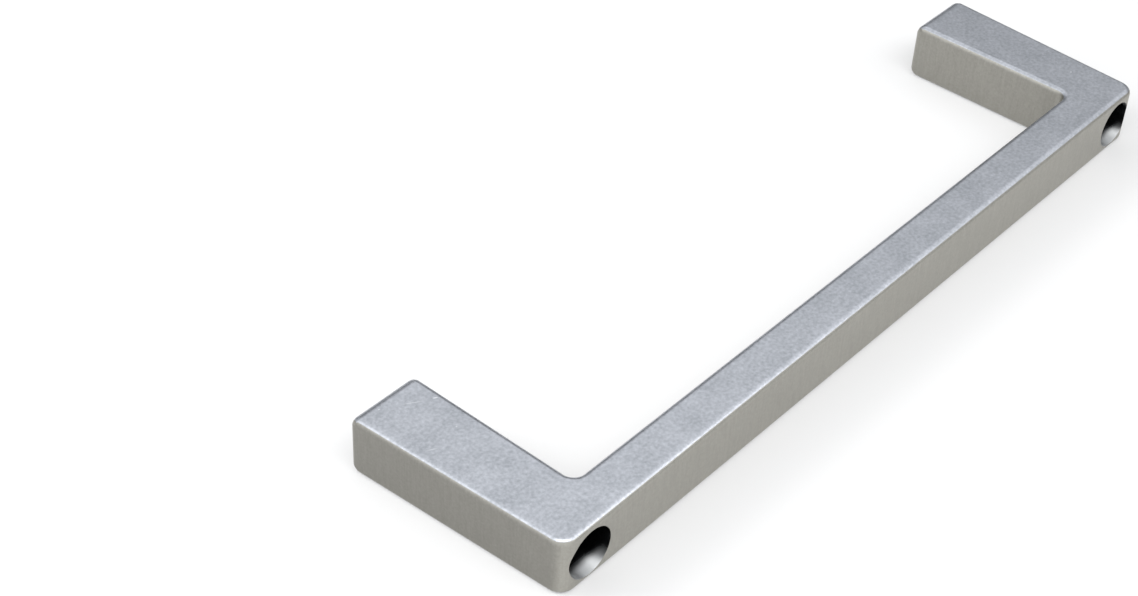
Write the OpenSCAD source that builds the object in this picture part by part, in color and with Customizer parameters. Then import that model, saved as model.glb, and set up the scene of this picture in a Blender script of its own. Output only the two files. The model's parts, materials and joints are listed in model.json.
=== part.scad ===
// Front handle: a flat U cut from plate, lying on its side.
// The grip runs along X, its front face looks to -Y and the two legs reach
// back to the mounting faces at +Y. The plate is flat on Z = 0 and Z = thickness.
// All sizes in millimetres.

/* [Mounting] */
// spacing of the two screw axes along the handle
hole_spacing = 133.35; // [100:0.05:200]
// screw axis to the outer corner of the grip
hole_inset = 5.325; // [5.2:0.025:5.6]
// clearance hole for the screw
screw_hole_d = 4.8; // [3:0.1:6]
// counterbore for the screw head, sunk from the front face
counterbore_d = 8.0; // [6.5:0.1:8.5]
// depth of the counterbore
counterbore_depth = 25; // [5:0.5:30]

/* [Plate] */
// plate thickness, the same in the grip and the legs
thickness = 10; // [9.5:0.1:14]
// front face to the mounting faces
depth = 37; // [34:0.5:60]

/* [Grip] */
// width of the grip, front face to finger side
grip_width = 7.3; // [5:0.1:12]

/* [Legs] */
// width of a leg at the front face
leg_width = 10.2; // [10:0.1:16]

/* [Rounding] */
// rounding along every edge of the plate
edge_r = 1.05; // [0.4:0.05:1.1]
// upright corners of the leg ends, seen from above
leg_end_r = 1.2; // [1.15:0.05:2]
// outer elbow, seen from above
elbow_r = 2.5; // [1.8:0.1:4]
// inner corner between grip and leg, seen from above
finger_corner_r = 1.8; // [0.5:0.1:3]

/* [Hidden] */
$fn = 96;

// The outer side of a leg leans out by 3.21 degrees between front face and leg end.
// It is turned in steps whose sine and cosine end after a few decimals, so no digit is lost.
coarse_turn = atan2(0.28, 0.96);
fine_turn = atan2(0.07584, 0.99712);
lean = coarse_turn - 3 * fine_turn;

// half length of the front face, measured to the sharp corner
half_front = hole_spacing / 2 + hole_inset;
// Y of the front face, of the finger side of the grip and of the leg ends
front_y = -depth / 2;
finger_y = front_y + grip_width;
end_y = depth / 2;
// X of the inner side of the right leg
inner_x = half_front - leg_width;
// point at a distance r inside both faces of the elbow, and of the outer leg-end corner
function elbow_point(r) = [half_front - r * (1 - sin(lean)) / cos(lean), front_y + r];
function end_point(r) = [half_front + ((depth - r) * sin(lean) - r) / cos(lean), end_y - r];
// centres of the four corners of the right leg
elbow_c = elbow_point(elbow_r);
outer_end_c = end_point(leg_end_r);
inner_end_c = [inner_x + leg_end_r, end_y - leg_end_r];
finger_c = [inner_x - finger_corner_r, finger_y + finger_corner_r];

// the rims reach this far in from the outline, and the core this far out to it
rim_w = 2 * edge_r;
core_inset = 1.5 * edge_r;
finger_ring = sqrt(2) * (finger_corner_r + core_inset) - finger_corner_r + edge_r / 2;
// Every bend and straight is laid from both of its ends, and the two overlap midway.
bend = 60;
front_run = round(elbow_c[0]) + 1;
side_run = round(0.7 * depth);
end_run = round(7 * (outer_end_c[0] - inner_end_c[0])) / 10;
over = 1;

// section of a rim of width w, rounded where it faces outward
module rim_section(w) {
    difference() {
        square([w, thickness]);
        translate([w - edge_r, thickness - edge_r]) corner_waste();
        translate([w - edge_r, edge_r]) mirror([0, 1]) corner_waste();
    }
}

// what the rounding takes off a sharp corner
module corner_waste() {
    difference() {
        square(edge_r + over);
        circle(r = edge_r);
    }
}

// bend of radius r that starts facing +X, and the straight that leads up to it along Y
module rim(r, sweep, run) {
    rotate_extrude(angle = sweep) rim_section(r);
    rim_straight(r, run);
}

// straight rim with its face at x = r, from y = -run to y = 0
module rim_straight(r, run) {
    translate([r - rim_w, 0, 0]) rotate([90, 0, 0])
        linear_extrude(height = run) rim_section(rim_w);
}

// rim of the corner that points inward, from facing -Y to facing +X
module finger_rim() {
    rotate([0, 0, -90]) rotate_extrude(angle = 90)
        translate([finger_corner_r + finger_ring, 0]) mirror([1, 0]) rim_section(finger_ring);
}

// moves to a point in two steps, so that its last digits are kept
module at(p) {
    near = [round(p[0] * 1000) / 1000, round(p[1] * 1000) / 1000];
    translate([near[0], near[1], 0]) translate([p[0] - near[0], p[1] - near[1], 0]) children();
}

// turns +X to face out of the leaning side
module lean_turn() {
    rotate([0, 0, -coarse_turn]) rotate([0, 0, fine_turn])
        rotate([0, 0, fine_turn]) rotate([0, 0, fine_turn]) children();
}

// flat core inside the rims, right leg first and the left leg as its mirror image
module core() {
    half = [
        elbow_point(core_inset),
        end_point(core_inset),
        [inner_x + core_inset, end_y - core_inset],
        [inner_x + core_inset, finger_y - core_inset],
    ];
    other = [for (i = [len(half) - 1 : -1 : 0]) [-half[i][0], half[i][1]]];
    linear_extrude(height = thickness) polygon(concat(half, other));
}

// rims of the right half: front, elbow, leaning side, leg end, finger side
module half_rims() {
    at(elbow_c) rotate([0, 0, -90]) rim(elbow_r, bend, front_run);
    at(elbow_c) lean_turn() mirror([0, 1, 0]) rim(elbow_r, bend, side_run);
    at(outer_end_c) lean_turn() rim(leg_end_r, bend, side_run);
    at(outer_end_c) rotate([0, 0, 90]) mirror([0, 1, 0]) rim(leg_end_r, bend, end_run);
    at(inner_end_c) rotate([0, 0, 90]) rim(leg_end_r, 90, end_run);
    at([inner_x, finger_c[1]]) rotate([0, 0, 180]) rim_straight(0, inner_end_c[1] - finger_c[1]);
    at(finger_c) finger_rim();
    at([finger_c[0], finger_y]) rotate([0, 0, 90]) mirror([0, 1, 0]) rim_straight(0, finger_c[0]);
}

// counterbored screw hole through the right leg
module screw_bore() {
    translate([hole_spacing / 2, 0, thickness / 2]) rotate([90, 0, 0]) {
        cylinder(d = screw_hole_d, h = depth + 2 * over, center = true);
        translate([0, 0, depth / 2 - counterbore_depth])
            cylinder(d = counterbore_d, h = counterbore_depth + over);
    }
}

module front_handle() {
    color([0.70, 0.71, 0.72])
    difference() {
        union() {
            core();
            half_rims();
            mirror([1, 0, 0]) half_rims();
        }
        screw_bore();
        mirror([1, 0, 0]) screw_bore();
    }
}

front_handle();
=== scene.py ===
# %% [markdown]
# A front handle is one solid bar of aluminium, cut from flat plate into a wide U. The grip runs
# along X with its front face to -Y, the legs reach back to +Y, and a counterbored screw hole goes
# through each leg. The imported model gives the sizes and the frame, and this script gives the looks.
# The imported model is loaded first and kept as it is, so that everything made here can be measured
# against it.

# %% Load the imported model
import json
import math

import bmesh
import bpy
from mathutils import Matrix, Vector

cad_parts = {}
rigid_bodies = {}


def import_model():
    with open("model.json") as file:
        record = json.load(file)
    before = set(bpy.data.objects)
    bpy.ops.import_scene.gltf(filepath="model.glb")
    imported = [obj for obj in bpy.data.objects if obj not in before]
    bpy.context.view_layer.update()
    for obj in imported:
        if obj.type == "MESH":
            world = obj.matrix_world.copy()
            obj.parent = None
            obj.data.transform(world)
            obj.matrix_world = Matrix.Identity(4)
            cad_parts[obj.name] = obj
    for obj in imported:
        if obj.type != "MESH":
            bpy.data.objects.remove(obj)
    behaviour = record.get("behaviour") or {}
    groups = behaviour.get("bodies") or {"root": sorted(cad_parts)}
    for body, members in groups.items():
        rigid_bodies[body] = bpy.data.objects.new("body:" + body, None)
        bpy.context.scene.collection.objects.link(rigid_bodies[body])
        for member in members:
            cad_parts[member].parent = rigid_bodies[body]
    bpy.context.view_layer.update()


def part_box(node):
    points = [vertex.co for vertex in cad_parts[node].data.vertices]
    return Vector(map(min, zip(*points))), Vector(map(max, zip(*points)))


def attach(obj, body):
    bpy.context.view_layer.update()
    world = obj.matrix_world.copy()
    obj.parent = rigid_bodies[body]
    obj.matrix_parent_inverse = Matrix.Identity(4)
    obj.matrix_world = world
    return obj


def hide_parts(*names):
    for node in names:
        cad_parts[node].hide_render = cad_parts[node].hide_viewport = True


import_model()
low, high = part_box("front_handle")
print("packed handle, mm:", [round(1000 * (b - a), 2) for a, b in zip(low, high)])

# %% [markdown]
# The camera stands where the photograph was taken from: a little over 30 cm away, to the left of
# the front face and about 38 degrees above the table. It could be aimed by eye, but the long
# straight edges of a handle fix it much better: how fast they run together in the picture depends
# on the lens and the distance. A lens of 66 mm on a 36 mm wide frame fits them, and a small shift
# puts the handle in its place in the frame.

# %% Camera
camera_data = bpy.data.cameras.new("camera")
camera_data.sensor_width = 36.0
camera_data.lens = 66.19
camera_data.shift_x = 0.03615
camera_data.shift_y = 0.00161
camera_data.clip_start = 0.01
camera = bpy.data.objects.new("camera", camera_data)
camera.location = (-0.213884, -0.132660, 0.203663)
camera.rotation_euler = [math.radians(a) for a in (49.9271, -1.6355, -47.9595)]
bpy.context.collection.objects.link(camera)
bpy.context.scene.camera = camera
print("camera", round(camera.location.length, 3), "m from the handle's middle")

# %% [markdown]
# Seen from above, the handle is a U with eight corners. The legs are wider than the grip, because
# the screw holes go through them, and each leg's outer side leans out a little towards its end.
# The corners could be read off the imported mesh, but sizes with names say what each one is, as on a
# maker's drawing. They are in millimetres and Blender works in metres, so one factor turns them.

# %% Plan of the handle
MM = 0.001
HOLE_SPACING = 133.35
HOLE_INSET = 5.325
DEPTH = 37.0
GRIP_WIDTH = 7.3
LEG_WIDTH = 10.2
LEAN = math.atan2(0.28, 0.96) - 3 * math.atan2(0.07584, 0.99712)

half_front = HOLE_SPACING / 2 + HOLE_INSET
half_back = half_front + DEPTH * math.tan(LEAN)
inner_x = half_front - LEG_WIDTH
front_y, end_y = -DEPTH / 2, DEPTH / 2
finger_y = front_y + GRIP_WIDTH
right = [(half_front, front_y), (half_back, end_y), (inner_x, end_y), (inner_x, finger_y)]
left = [(-x, y) for x, y in reversed(right)]
print("front face", round(2 * half_front, 2), "mm, leg ends", round(2 * half_back, 2), "mm")

# %% [markdown]
# The bar is cut out of 10 mm plate, so all its sides stand square to its flat faces. Three blocks
# joined by a boolean could make it, but they would leave seams in the flat faces. One face in the
# shape of the plan, pulled up by the thickness of the plate, has no seams and only the edges that
# the real bar has, and those are what gets rounded next.

# %% Plate with sharp corners
THICKNESS = 10.0

bm = bmesh.new()
outline = bm.faces.new([bm.verts.new((x * MM, y * MM, 0.0)) for x, y in right + left])
raised = bmesh.ops.extrude_face_region(bm, geom=[outline])["geom"]
top = [v for v in raised if isinstance(v, bmesh.types.BMVert)]
bmesh.ops.translate(bm, verts=top, vec=(0.0, 0.0, THICKNESS * MM))
bmesh.ops.recalc_face_normals(bm, faces=bm.faces)
print("plate:", len(bm.verts), "corners,", len(bm.faces), "faces")

# %% [markdown]
# The cutter that goes round the plan leaves the elbows and the corners where the fingers go round.
# Those arcs could be drawn into the plan, but bevelling the upright edges keeps the plan plain. A
# bevel's offset runs along the faces, from the edge to where the round begins. For a corner that
# isn't square it differs a little from the radius, so it is worked out from the angle between the
# two faces. The corners of the leg ends stay sharp for now.

# %% Elbows and finger corners
ELBOW_R = 2.5
FINGER_CORNER_R = 1.8


def round_upright(bm, spots, radius, segments):
    """Rounds the upright edges that stand at these plan points."""
    for x, y in spots:
        here = Vector((x * MM, y * MM, 0.0))
        edges = [
            e for e in bm.edges
            if all((Vector((v.co.x, v.co.y, 0.0)) - here).length < 1e-6 for v in e.verts)
        ]
        turn = abs(edges[0].calc_face_angle())
        bmesh.ops.bevel(
            bm, geom=edges, offset=radius * MM * math.tan(turn / 2), offset_type="OFFSET",
            affect="EDGES", segments=segments, profile=0.5, material=-1, clamp_overlap=False,
        )


round_upright(bm, [(s * half_front, front_y) for s in (1, -1)], ELBOW_R, 16)
round_upright(bm, [(s * inner_x, finger_y) for s in (1, -1)], FINGER_CORNER_R, 14)
print("after the upright corners:", len(bm.faces), "faces")

# %% [markdown]
# Every other edge is broken so that it doesn't cut a hand: 1.05 mm along the handle and a fuller
# 1.65 mm over the leg ends. With the upright one, three roundings of different size meet at each
# corner of a leg end. Made one after the other, the step from one size to the next falls on the
# narrow upright arc and tears the flat face beside it. So each edge first only gets a mark that
# says how round it will be, as a share of the fullest one.

# %% How round each edge will be
EDGE_R = 1.05
END_EDGE_R = 1.65
LEG_END_R = 1.2

weight = bm.edges.layers.float.new("bevel_weight_edge")
for edge in bm.edges:
    one, two = (v.co / MM for v in edge.verts)
    over_end = min(one.y, two.y) > end_y - 0.01
    if abs(one.z - two.z) < 1e-4:
        radius = END_EDGE_R if over_end else EDGE_R
    else:
        radius = LEG_END_R if over_end else 0.0
    edge[weight] = radius / END_EDGE_R
print("edges to round:", sum(edge[weight] > 0 for edge in bm.edges), "of", len(bm.edges))

# %% [markdown]
# A Bevel modifier reads those marks as weights. It rounds all the edges in one go and fills the
# places where three of them meet with a smooth patch, like the ball-shaped corner that a maker's
# file leaves. The modifier could stay live, but the holes have to cut through roundings that are
# already there, so its result is applied to the mesh at once.

# %% Rounded body
def apply_modifiers(piece):
    """The piece's mesh becomes what its modifiers show, and the modifiers go."""
    shown = piece.evaluated_get(bpy.context.evaluated_depsgraph_get())
    mesh = bpy.data.meshes.new_from_object(shown)
    piece.modifiers.clear()
    piece.data = mesh


body_mesh = bpy.data.meshes.new("handle_body")
bm.to_mesh(body_mesh)
bm.free()
body = bpy.data.objects.new("handle_body", body_mesh)
bpy.context.collection.objects.link(body)
rounding = body.modifiers.new("rounding", "BEVEL")
rounding.width, rounding.segments, rounding.profile = END_EDGE_R * MM, 12, 0.5
rounding.offset_type, rounding.limit_method = "OFFSET", "WEIGHT"
rounding.use_clamp_overlap = False
apply_modifiers(body)
print("rounded body:", len(body.data.polygons), "faces")

# %% [markdown]
# Each screw comes in from the front. Its head sits in a wide, flat-bottomed counterbore and its
# thread goes on through a narrow hole to the leg end. Two cylinders could stand for the two
# drills, but one stepped profile, spun once round the hole's axis, is the shape of the stepped
# tool and leaves no face inside where the cylinders would overlap.

# %% Stepped cutter
SCREW_HOLE_D = 4.8
COUNTERBORE_D = 8.0
COUNTERBORE_DEPTH = 25.0
axis_z = THICKNESS / 2 * MM


def stepped_cutter(x):
    """The shape of drill and counterbore together, on the axis at this x."""
    floor_y = front_y + COUNTERBORE_DEPTH
    steps = [
        (0.0, front_y - 1), (COUNTERBORE_D / 2, front_y - 1), (COUNTERBORE_D / 2, floor_y),
        (SCREW_HOLE_D / 2, floor_y), (SCREW_HOLE_D / 2, end_y + 1), (0.0, end_y + 1),
    ]
    bm = bmesh.new()
    points = [bm.verts.new(((x + r) * MM, y * MM, axis_z)) for r, y in steps]
    lines = [bm.edges.new(pair) for pair in zip(points, points[1:])]
    bmesh.ops.spin(
        bm, geom=points + lines, cent=(x * MM, 0.0, axis_z), axis=(0.0, 1.0, 0.0),
        angle=2 * math.pi, steps=96, use_merge=True,
    )
    bmesh.ops.remove_doubles(bm, verts=bm.verts, dist=1e-7)
    bmesh.ops.recalc_face_normals(bm, faces=bm.faces)
    mesh = bpy.data.meshes.new("cutter")
    bm.to_mesh(mesh)
    bm.free()
    cutter = bpy.data.objects.new("cutter", mesh)
    bpy.context.collection.objects.link(cutter)
    return cutter


cutters = [stepped_cutter(side * HOLE_SPACING / 2) for side in (1, -1)]
print("faces of one cutter:", len(cutters[0].data.polygons))

# %% [markdown]
# The counterbore comes out so close to the elbow that it cuts into the elbow's rounding. Its rim
# could be inset into the front face by hand, but not where that face curves away. A boolean
# follows both, and the exact solver keeps the rim clean there. The cutters are thrown away
# afterwards.

# %% Boring
for cutter in cutters:
    cut = body.modifiers.new("bore", "BOOLEAN")
    cut.operation, cut.solver, cut.object = "DIFFERENCE", "EXACT", cutter
    apply_modifiers(body)
    cutter_mesh = cutter.data
    bpy.data.objects.remove(cutter)
    bpy.data.meshes.remove(cutter_mesh)
print("bored body:", len(body.data.polygons), "faces")

# %% [markdown]
# The real handle shows one clean line of light along each rounded edge. Many more faces could give
# it, but smooth shading does it with few, and the rims of the holes stay crisp because they are
# sharper than the limit angle. Weighted normals keep the flats flat: each flat face is large, so
# it decides the normal where it runs into a rounding. The last lines hide the imported handle,
# which this body stands for, and let the body ride on its one body.

# %% Shading of the body
body.data.shade_smooth()
body.data.set_sharp_from_angle(angle=math.radians(35))
weighted = body.modifiers.new("weighted_normals", "WEIGHTED_NORMAL")
weighted.mode, weighted.weight, weighted.keep_sharp = "FACE_AREA", 50, True

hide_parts("front_handle")
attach(body, "root")
print("crisp edges:", sum(edge.use_edge_sharp for edge in body.data.edges))

# %% [markdown]
# Three finishes follow: blasted, milled and drilled. Each is a tree of shader nodes, which could be
# laid out by hand in the editor. In a script, one small function that adds a node with its values,
# links and settings keeps each step of the tree on a line or two. Colours are written as the eye
# reads them, in sRGB hex, and another function turns them to the linear light that Blender wants.

# %% Helpers for materials
def linear(hex_colour):
    """sRGB hex to linear RGBA."""
    parts = [int(hex_colour[i:i + 2], 16) / 255 for i in (1, 3, 5)]
    return [p / 12.92 if p <= 0.04045 else ((p + 0.055) / 1.055) ** 2.4 for p in parts] + [1.0]


def add(tree, kind, values=None, links=None, stops=(), **settings):
    """A node of this kind, with its socket values, incoming links, ramp stops and other settings."""
    node = tree.nodes.new(kind)
    for name, value in settings.items():
        setattr(node, name, value)
    for socket, value in (values or {}).items():
        node.inputs[socket].default_value = value
    for socket, source in (links or {}).items():
        tree.links.new(source, node.inputs[socket])
    if stops:
        while len(node.color_ramp.elements) < len(stops):
            node.color_ramp.elements.new(0.5)
        for stop, (position, glint_and_shade_colour) in zip(node.color_ramp.elements, stops):
            stop.position, stop.color = position, glint_and_shade_colour
    return node


def start_material(name):
    """An empty node material, its tree and its output node."""
    material = bpy.data.materials.new(name)
    material.use_nodes = True
    material.node_tree.nodes.clear()
    return material, material.node_tree, add(material.node_tree, "ShaderNodeOutputMaterial")


print("mid grey in linear light:", round(linear("#808080")[0], 3))

# %% [markdown]
# The plate faces are blasted with glass beads and then clear anodised. Blasting leaves pits of a
# tenth or two of a millimetre that scatter the light, so the face looks like fine frost: even,
# cool grey, with a faint mottle. A picture of frost could be laid on it, but that would stretch on
# the rounded edges and repeat, while noise on Object coordinates fills the metal at its real size.
# The mottle is drawn at half a millimetre, a little coarser than the pits, because that is the
# finest that shows at this distance. A wider cloud of 5 mm keeps it from looking printed.

# %% Mottle of the blasted finish
def scale_for(size_mm):
    """The Scale of a noise whose blotches are about this many millimetres across."""
    return 1000.0 / size_mm


blasted, tree, out = start_material("bead-blasted anodised aluminium")
place = add(tree, "ShaderNodeTexCoord").outputs["Object"]
grain = add(
    tree, "ShaderNodeTexNoise", {"Scale": scale_for(0.55), "Detail": 3.0, "Roughness": 0.6},
    {"Vector": place},
).outputs["Fac"]
cloud = add(
    tree, "ShaderNodeTexNoise", {"Scale": scale_for(5.0), "Detail": 2.0}, {"Vector": place}
).outputs["Fac"]
tone = add(tree, "ShaderNodeMath", {1: 0.3}, {0: cloud}, operation="MULTIPLY").outputs[0]
tone = add(tree, "ShaderNodeMath", {1: 0.7}, {0: grain, 2: tone}, operation="MULTIPLY_ADD").outputs[0]
mottle = add(
    tree, "ShaderNodeValToRGB", links={"Fac": tone},
    stops=[(0.3, linear("#a3a7ad")), (0.7, linear("#cbced5"))],
).outputs["Color"]
print("mottle: 0.55 mm grain in a 5 mm cloud")

# %% [markdown]
# Use has left light marks on the top face, where the anodised skin is broken: a nick and two faint
# scratches near the end of one leg, and three specks. They could be cut into the mesh, but they
# have no depth that shows. Each one is a spot drawn by a Mapping node of the Texture type, which
# moves, turns and divides the place by half the mark's length and width. What is then less than 1
# from the middle lies within the mark, and it fades out from 0.4 on.

# %% Wear marks
marks = [  # x, y, length and width in mm, turn in degrees, strength
    (-63.28, 12.66, 0.9, 0.24, -35, 1.0),
    (-66.14, 14.21, 3.4, 0.22, -32, 0.35),
    (-70.79, 5.98, 2.2, 0.22, -29, 0.35),
    (68.08, -8.37, 0.42, 0.34, 20, 0.9),
    (-65.37, 6.68, 0.3, 0.3, 0, 0.5),
    (-70.20, 16.53, 0.4, 0.3, 0, 0.5),
]
worn = None
for x, y, length, width, turn, strength in marks:
    within = add(
        tree, "ShaderNodeMapping",
        {"Location": (x * MM, y * MM, THICKNESS * MM), "Rotation": (0.0, 0.0, math.radians(turn)),
         "Scale": (length / 2 * MM, width / 2 * MM, MM)},
        {"Vector": place}, vector_type="TEXTURE",
    ).outputs[0]
    reach = add(tree, "ShaderNodeVectorMath", links={0: within}, operation="LENGTH").outputs["Value"]
    spot = add(
        tree, "ShaderNodeMapRange",
        {"From Min": 0.4, "From Max": 1.0, "To Min": strength, "To Max": 0.0}, {"Value": reach},
    ).outputs[0]
    worn = spot if worn is None else add(
        tree, "ShaderNodeMath", links={0: worn, 1: spot}, operation="MAXIMUM"
    ).outputs[0]
marked = add(
    tree, "ShaderNodeMix", {7: linear("#f4f6f8")}, {0: worn, 6: mottle}, data_type="RGBA"
).outputs[2]
print("wear marks:", len(marks), "and the longest is", max(mark[2] for mark in marks), "mm")

# %% [markdown]
# The finish is a metal, so its brightness comes from what it mirrors, tinted by the mottle. Its
# roughness is middling: a rougher face would look like grey paint, and a smoother one would show
# the lamps. The pits could be real geometry, but they would take millions of faces, so a bump
# tilts the surface as if they were there, 0.02 mm deep.

# %% Blasted, clear anodised aluminium
pits = add(
    tree, "ShaderNodeTexNoise", {"Scale": scale_for(0.22), "Detail": 2.0, "Roughness": 0.6},
    {"Vector": place},
).outputs["Fac"]
bump = add(tree, "ShaderNodeBump", {"Strength": 0.35, "Distance": 0.02 * MM}, {"Height": pits})
surface = add(
    tree, "ShaderNodeBsdfPrincipled", {"Metallic": 1.0, "Roughness": 0.39},
    {"Base Color": marked, "Normal": bump.outputs["Normal"]},
)
tree.links.new(surface.outputs["BSDF"], out.inputs["Surface"])
print("blasted finish:", len(tree.nodes), "nodes")

# %% [markdown]
# The upright sides keep the look of milling: a touch warmer than the frost above, with faint
# streaks that run up and down, as the side of the cutter leaves them. Real grooves would be far
# too fine to model. The streaks come from a noise that is stretched to twelve times its width
# along the plate's thickness, over a finer grain, and both only shift the tone a little.

# %% Streaks of the milled finish
milled, tree, out = start_material("milled anodised aluminium")
coordinates = add(tree, "ShaderNodeTexCoord").outputs
place = coordinates["Object"]
stretched = add(tree, "ShaderNodeMapping", {"Scale": (1.0, 1.0, 0.08)}, {"Vector": place}).outputs[0]
streak = add(
    tree, "ShaderNodeTexNoise", {"Scale": scale_for(0.45), "Detail": 3.0, "Roughness": 0.7},
    {"Vector": stretched},
).outputs["Fac"]
grain = add(
    tree, "ShaderNodeTexNoise", {"Scale": scale_for(0.4), "Detail": 3.0, "Roughness": 0.6},
    {"Vector": place},
).outputs["Fac"]
tone = add(tree, "ShaderNodeMath", {1: 0.55}, {0: grain}, operation="MULTIPLY").outputs[0]
tone = add(tree, "ShaderNodeMath", {1: 0.45}, {0: streak, 2: tone}, operation="MULTIPLY_ADD").outputs[0]
streaks = add(
    tree, "ShaderNodeValToRGB", links={"Fac": tone},
    stops=[(0.3, linear("#9b9992")), (0.7, linear("#acaaa3"))],
).outputs["Color"]
print("streaks: 0.45 mm wide and about", round(0.45 / 0.08, 1), "mm long")

# %% [markdown]
# The tone is painted shade that differs from side to side: full on the grip, darkest on the outside
# of the legs, and only a little darker on their finger sides, by how each side faces, not by its
# finish. Three materials could hold the three shades, but a seam would show where they meet at the
# elbow. One material reads how far the surface looks away from the handle's middle, from -1 to 1,
# and since that turns gradually round the elbow, so does the painted shade.

# %% Painted shade on the milled sides
looks_x = add(tree, "ShaderNodeSeparateXYZ", links={0: coordinates["Normal"]}).outputs["X"]
side = add(tree, "ShaderNodeSeparateXYZ", links={0: place}).outputs["X"]
side = add(tree, "ShaderNodeMath", links={0: side}, operation="SIGN").outputs[0]
outward = add(tree, "ShaderNodeMath", links={0: looks_x, 1: side}, operation="MULTIPLY").outputs[0]
outward = add(
    tree, "ShaderNodeMapRange", {"From Min": -1.0, "From Max": 1.0}, {"Value": outward}
).outputs[0]
# painted shade: the outside of the legs and the finger sides are darker than the grip
finger_side_shade, grip, outside_shade = linear("#efefef"), linear("#ffffff"), linear("#dadada")
side_shade = add(
    tree, "ShaderNodeValToRGB", links={"Fac": outward},
    stops=[(0.0, finger_side_shade), (0.12, grip), (0.88, grip), (1.0, outside_shade)],
).outputs["Color"]
# the streaks are darkened by the painted shade of each side
streaks_and_shade = add(
    tree, "ShaderNodeMix", {0: 1.0}, {6: streaks, 7: side_shade},
    data_type="RGBA", blend_type="MULTIPLY",
).outputs[2]
print("tone outside and on the finger side, as shares of the grip's:",
      round(outside_shade[0], 2), round(finger_side_shade[0], 2))

# %% [markdown]
# The milled sides were never blasted, yet anodising has dulled them too, so their roughness is
# about that of the frost. It could be lower, as on bare milled metal, but then the table would
# show in them as a clear reflection. The bump is half as deep as the pits, 0.01 mm, and follows the
# fine grain only, which keeps the streaks soft.

# %% Milled, clear anodised aluminium
bump = add(tree, "ShaderNodeBump", {"Strength": 0.2, "Distance": 0.01 * MM}, {"Height": grain})
surface = add(
    tree, "ShaderNodeBsdfPrincipled", {"Metallic": 1.0, "Roughness": 0.42},
    {"Base Color": streaks_and_shade, "Normal": bump.outputs["Normal"]},
)
tree.links.new(surface.outputs["BSDF"], out.inputs["Surface"])
print("milled finish:", len(tree.nodes), "nodes")

# %% [markdown]
# The wall of a hole is as the drill left it, and a pale, rough patch in its mouth is a painted
# highlight: it sits where the top box's light falls in and makes the glint there, and the rest of
# the wall is painted shade. The patch is deepest below and above and runs out sideways. It could be
# drawn by hand, but a rule is shorter: a place gets less of the patch the deeper it lies, and the
# less its wall faces up or down.

# %% Painted glint and shade in the mouth of a hole
GLINT_PATCH_DEPTH = 3.2

drilled, tree, out = start_material("drilled aluminium")
place = add(tree, "ShaderNodeTexCoord").outputs["Object"]
spot = add(tree, "ShaderNodeSeparateXYZ", links={0: place}).outputs
# painted glint and shade: pale near the mouth above and below, dark deeper in and on the side walls
deep = add(
    tree, "ShaderNodeMapRange", {"From Min": front_y * MM, "From Max": (front_y + GLINT_PATCH_DEPTH) * MM},
    {"Value": spot["Y"]},
).outputs[0]
upright = add(tree, "ShaderNodeMath", {1: axis_z}, {0: spot["Z"]}, operation="SUBTRACT").outputs[0]
upright = add(tree, "ShaderNodeMath", links={0: upright}, operation="ABSOLUTE").outputs[0]
upright = add(
    tree, "ShaderNodeMapRange",
    {"From Min": 0.0, "From Max": COUNTERBORE_D / 2 * MM, "To Min": 0.02, "To Max": 1.0},
    {"Value": upright},
).outputs[0]
shade = add(tree, "ShaderNodeMath", links={0: deep, 1: upright}, operation="DIVIDE").outputs[0]
glint_reach = add(
    tree, "ShaderNodeMapRange", {"From Min": 0.35, "From Max": 1.0, "To Min": 1.0, "To Max": 0.0},
    {"Value": shade}, interpolation_type="SMOOTHSTEP",
).outputs[0]
glint_taper = add(
    tree, "ShaderNodeMapRange", {"From Min": 0.3, "From Max": 1.0}, {"Value": upright},
    interpolation_type="SMOOTHSTEP",
).outputs[0]
glint_patch = add(tree, "ShaderNodeMath", links={0: glint_reach, 1: glint_taper}, operation="MULTIPLY").outputs[0]
# the patch printed here is the painted glint
print("frosted patch:", GLINT_PATCH_DEPTH, "mm deep at most")

# %% [markdown]
# Away from the patch, the wall has a dark colour and a low roughness: painted shade for the dark
# inside of the hole. The patch is pale and rough. The drill's feed marks run round the wall and
# spread the light along the hole. They could be fine rings in the mesh, but they are thinner than a
# pixel, so the metal is made anisotropic, with its tangent along the hole, and a noise that is
# stretched round the wall gives them a faint bump.

# %% Drilled aluminium
# the dark colour is painted shade of the hole's inside, the pale one the painted glint in its mouth
glint_and_shade_colour = add(
    tree, "ShaderNodeValToRGB", links={"Fac": glint_patch},
    stops=[(0.0, linear("#3a3b3d")), (1.0, linear("#e6e8e9"))],
)
rough = add(tree, "ShaderNodeMapRange", {"To Min": 0.22, "To Max": 0.6}, {"Value": glint_patch}).outputs[0]
rings = add(tree, "ShaderNodeMapping", {"Scale": (0.1, 1.0, 0.1)}, {"Vector": place}).outputs[0]
feed = add(
    tree, "ShaderNodeTexNoise", {"Scale": scale_for(0.3), "Detail": 2.0}, {"Vector": rings}
).outputs["Fac"]
bump = add(tree, "ShaderNodeBump", {"Strength": 0.2, "Distance": 0.01 * MM}, {"Height": feed})
along = add(
    tree, "ShaderNodeVectorTransform", {0: (0.0, 1.0, 0.0)},
    vector_type="VECTOR", convert_from="OBJECT", convert_to="WORLD",
)
surface = add(
    tree, "ShaderNodeBsdfPrincipled", {"Metallic": 1.0, "Anisotropic": 0.85},
    {"Base Color": glint_and_shade_colour.outputs["Color"], "Roughness": rough, "Normal": bump.outputs["Normal"],
     "Tangent": along.outputs[0]},
)
tree.links.new(surface.outputs["BSDF"], out.inputs["Surface"])
print("drilled finish:", len(tree.nodes), "nodes")

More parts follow.
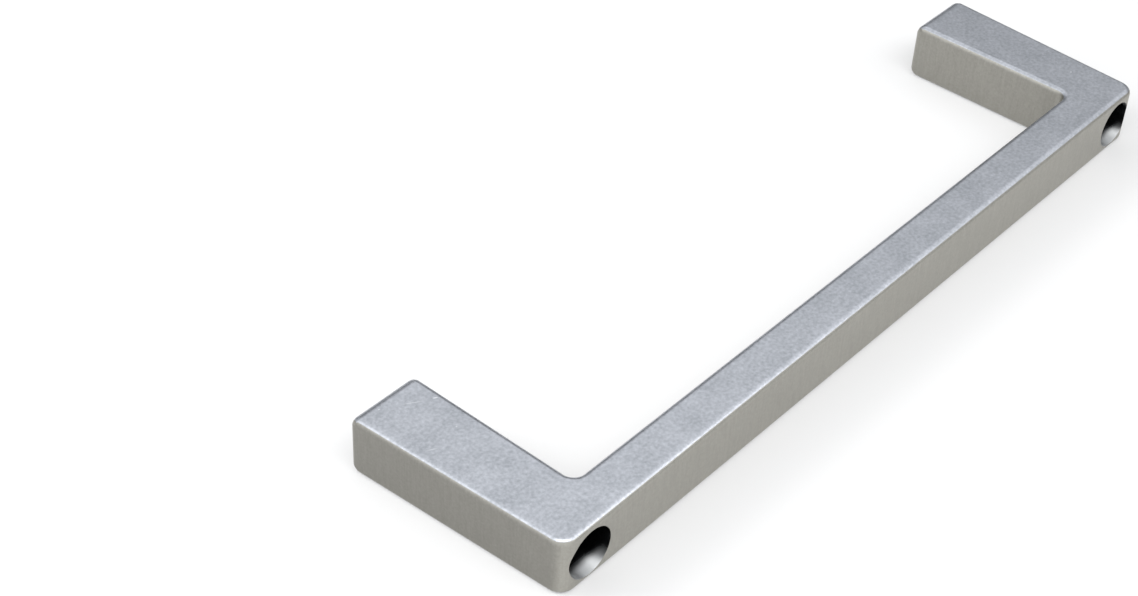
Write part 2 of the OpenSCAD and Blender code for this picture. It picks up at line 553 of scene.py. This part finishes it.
# %% [markdown]
# The three finishes could sit on three pieces, but the handle is one bar, so each face of the one
# body says which it has. A face near a hole's axis that looks towards it is a wall, and one deep
# inside that looks along it is the counterbore's floor, and both are drilled. The beads came from
# above and below, so they frosted the half of each rounded edge that looks up or down and left the
# other half milled. The change comes where the surface tips to about 41 degrees above the level.

# %% Which face has which finish
BLASTED, MILLED, DRILLED = range(3)
LOOKS_UP = 0.66  # the part of the normal along Z from which a face counts as blasted, sin(41 degrees)

for material in (blasted, milled, drilled):
    body.data.materials.append(material)
counts = [0, 0, 0]
for face in body.data.polygons:
    c, n = face.center, face.normal
    from_axis = Vector((c.x - math.copysign(HOLE_SPACING / 2 * MM, c.x), 0.0, c.z - axis_z))
    near_axis = from_axis.length < (COUNTERBORE_D / 2 + 0.02) * MM  # 0.02 mm to spare
    wall = near_axis and n.dot(from_axis.normalized()) < -0.95  # looks at the axis
    bottom = near_axis and abs(n.y) > 0.99 and abs(c.y) < (end_y - 1) * MM  # looks along it, inside
    if wall or bottom:
        face.material_index = DRILLED
    elif abs(n.z) < LOOKS_UP:
        face.material_index = MILLED
    else:
        face.material_index = BLASTED
    counts[face.material_index] += 1
print("faces blasted, milled, drilled:", counts)

# %% [markdown]
# The handle lies on a sheet of white paper, matt and even. A plain diffuse sheet needs so much light
# to look white that the metal on it would be too bright. So, for the camera and for what the metal
# mirrors, 30% of what it shows is a white of its own. The rest is lit by the lamps, so the handle's
# soft shadow still falls on it.

# %% Table
OWN_SHARE = 0.3

floor_mesh = bpy.data.meshes.new("table_top")
bm = bmesh.new()
bmesh.ops.create_grid(bm, x_segments=1, y_segments=1, size=0.9)
bm.to_mesh(floor_mesh)
bm.free()
table_top = bpy.data.objects.new("table_top", floor_mesh)
bpy.context.collection.objects.link(table_top)
paper, tree, out = start_material("white paper")
lit = add(tree, "ShaderNodeBsdfDiffuse", {"Color": linear("#cfcfcf")}).outputs[0]
glow = add(tree, "ShaderNodeEmission", {"Color": (1.0, 1.0, 1.0, 1.0), "Strength": 1.0}).outputs[0]
ray = add(tree, "ShaderNodeLightPath").outputs
seen = ray["Is Camera Ray"]
for mirrored in (ray["Is Glossy Ray"], ray["Is Transmission Ray"]):
    seen = add(
        tree, "ShaderNodeMath", links={0: seen, 1: mirrored}, operation="ADD", use_clamp=True
    ).outputs[0]
share = add(tree, "ShaderNodeMath", {1: OWN_SHARE}, {0: seen}, operation="MULTIPLY").outputs[0]
mix = add(tree, "ShaderNodeMixShader", links={"Fac": share, 1: lit, 2: glow})
tree.links.new(mix.outputs[0], out.inputs["Surface"])
floor_mesh.materials.append(paper)
print("table:", [round(side, 2) for side in table_top.dimensions[:2]], "m")

# %% [markdown]
# Bare metal has hardly a colour of its own, so the sky that it mirrors decides how it looks. One
# plain tone would make it flat, and a photographed sky would bring in things that aren't there. So
# the sky is a ramp by height: dark near the horizon, bright in a band above it and even overhead.
# It leans a little to the left and the front. The bright band gives the long fade along the top
# face, and the dark horizon gives the thread of shade under each bright edge.

# %% Sky
world = bpy.data.worlds.new("studio")
bpy.context.scene.world = world
world.use_nodes = True
tree = world.node_tree
tree.nodes.clear()
direction = add(tree, "ShaderNodeTexCoord").outputs["Generated"]
height = add(
    tree, "ShaderNodeVectorMath", {1: (-0.3, -0.2, 0.93)}, {0: direction}, operation="DOT_PRODUCT"
).outputs["Value"]
levels = [(0.0, 0.14), (0.18, 0.28), (0.43, 1.68), (0.6, 1.02), (0.75, 0.87), (1.0, 0.92)]
sky = add(
    tree, "ShaderNodeValToRGB", links={"Fac": height},
    stops=[(position, (0.99 * level, level, 1.015 * level, 1.0)) for position, level in levels],
)
background = add(tree, "ShaderNodeBackground", {"Strength": 1.0}, {"Color": sky.outputs["Color"]})
add(tree, "ShaderNodeOutputWorld", links={"Surface": background.outputs[0]})
print("sky level from horizon to top:", [level for position, level in levels])

# %% [markdown]
# Four soft boxes stand round the handle, because small lamps would give hard spots and shadows.
# The top box is the main light. It draws the wide bright band round the elbow and the glint in the
# holes. The left box draws the thin white line on the near leg's outer edge and the far leg's inner
# one, and the right box the line along the front. The back box brightens the table and throws the
# soft shadow to the front and right. The metal doesn't mirror it, because seen from the front the
# tops of the legs would turn white.

# %% Soft boxes
LAMP_DISTANCE = 0.8


def soft_box(name, towards, width, height, radiance):
    """A rectangular lamp in this direction from the handle, of this brightness to the eye."""
    data = bpy.data.lights.new(name, "AREA")
    data.shape, data.size, data.size_y = "RECTANGLE", width, height
    data.energy = radiance * math.pi * width * height
    lamp = bpy.data.objects.new(name, data)
    lamp.location = Vector(towards).normalized() * LAMP_DISTANCE
    lamp.rotation_euler = Vector(towards).to_track_quat("Z", "Y").to_euler()
    bpy.context.collection.objects.link(lamp)
    return lamp


soft_box("left_box", (-0.60, 0.40, 0.62), 0.5, 0.26, 1.15)
soft_box("right_box", (0.40, -0.71, 0.57), 0.36, 0.40, 2.0)
soft_box("top_box", (-0.30, -0.35, 0.88), 0.85, 0.28, 5.0)
back_box = soft_box("back_box", (-0.50, 0.64, 0.50), 0.36, 0.36, 9.5)
back_box.visible_glossy = False

# %% [markdown]
# The Standard view shows colours as they are written. Others roll off the bright tones, which
# suits a sunny scene, but here the greys have to stay as they were matched.

bpy.context.scene.view_settings.view_transform = "Standard"

# %% [markdown]
# The last line prints how many triangles the body has.

# %% Finish
print("triangles of the body:", sum(len(face.vertices) - 2 for face in body.data.polygons))
